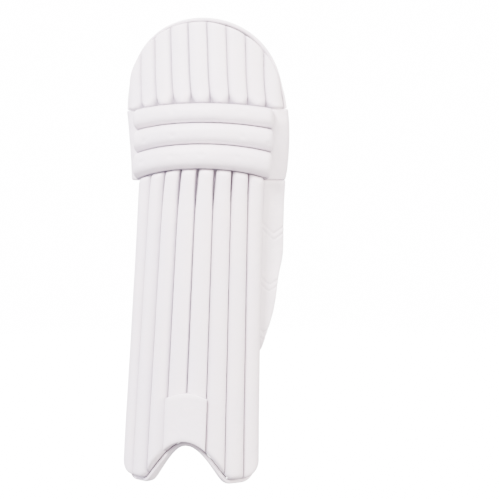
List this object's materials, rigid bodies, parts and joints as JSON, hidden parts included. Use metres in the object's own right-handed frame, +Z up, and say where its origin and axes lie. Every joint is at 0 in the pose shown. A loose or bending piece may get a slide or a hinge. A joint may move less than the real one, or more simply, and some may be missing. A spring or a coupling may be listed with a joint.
{
  "type": "batting pad",
  "caption": "Cricket batting pad: long vertical shin rolls, thick knee rolls, a channelled knee flap, a quilted side wing, and padded straps across its hollow back.",
  "frame": {"origin": "on the floor under the middle of the whole pad, which stands on its two foot lobes", "axes": "+Z up the shin, -Y out of the front (the rolls), +X to the side with the wing"},
  "size_m": [0.2466, 0.1228, 0.69],
  "materials": {
    "white_leather": "smooth coated synthetic leather, fine grain, soft gloss",
    "white_fabric": "matte woven or mesh lining",
    "teal_fabric": "matte printed or dyed lining cloth",
    "teal_tape": "thin coated tape, soft gloss",
    "grey_hook": "matte hook pile"
  },
  "bodies": {
    "root": {"backing": "white_fabric", "edge_binding": "white_leather", "shin_roll_1": "white_leather", "shin_roll_2": "white_leather", "shin_roll_3": "white_leather", "shin_roll_4": "white_leather", "shin_roll_5": "white_leather", "shin_roll_6": "white_leather", "shin_roll_7": "white_leather", "shin_roll_8": "white_leather", "knee_roll_1": "white_leather", "knee_roll_2": "white_leather", "knee_roll_3": "white_leather", "knee_side_left": "white_leather", "knee_side_right": "white_leather", "knee_flap": "white_leather", "flap_binding": "white_leather", "flap_lining": "teal_fabric", "wing": "white_leather", "instep_plate": "white_leather", "shin_bolster": "teal_fabric", "side_bolster_left": "white_leather", "side_bolster_right": "white_leather", "instep_lining": "white_fabric", "knee_wrap": "white_leather", "knee_wrap_roll": "white_leather", "knee_tab": "teal_tape", "calf_strap": "white_leather", "calf_tab": "white_leather", "ankle_strap": "white_leather", "ankle_tab": "teal_tape", "hook_patch": "grey_hook"}
  },
  "joints": []
}
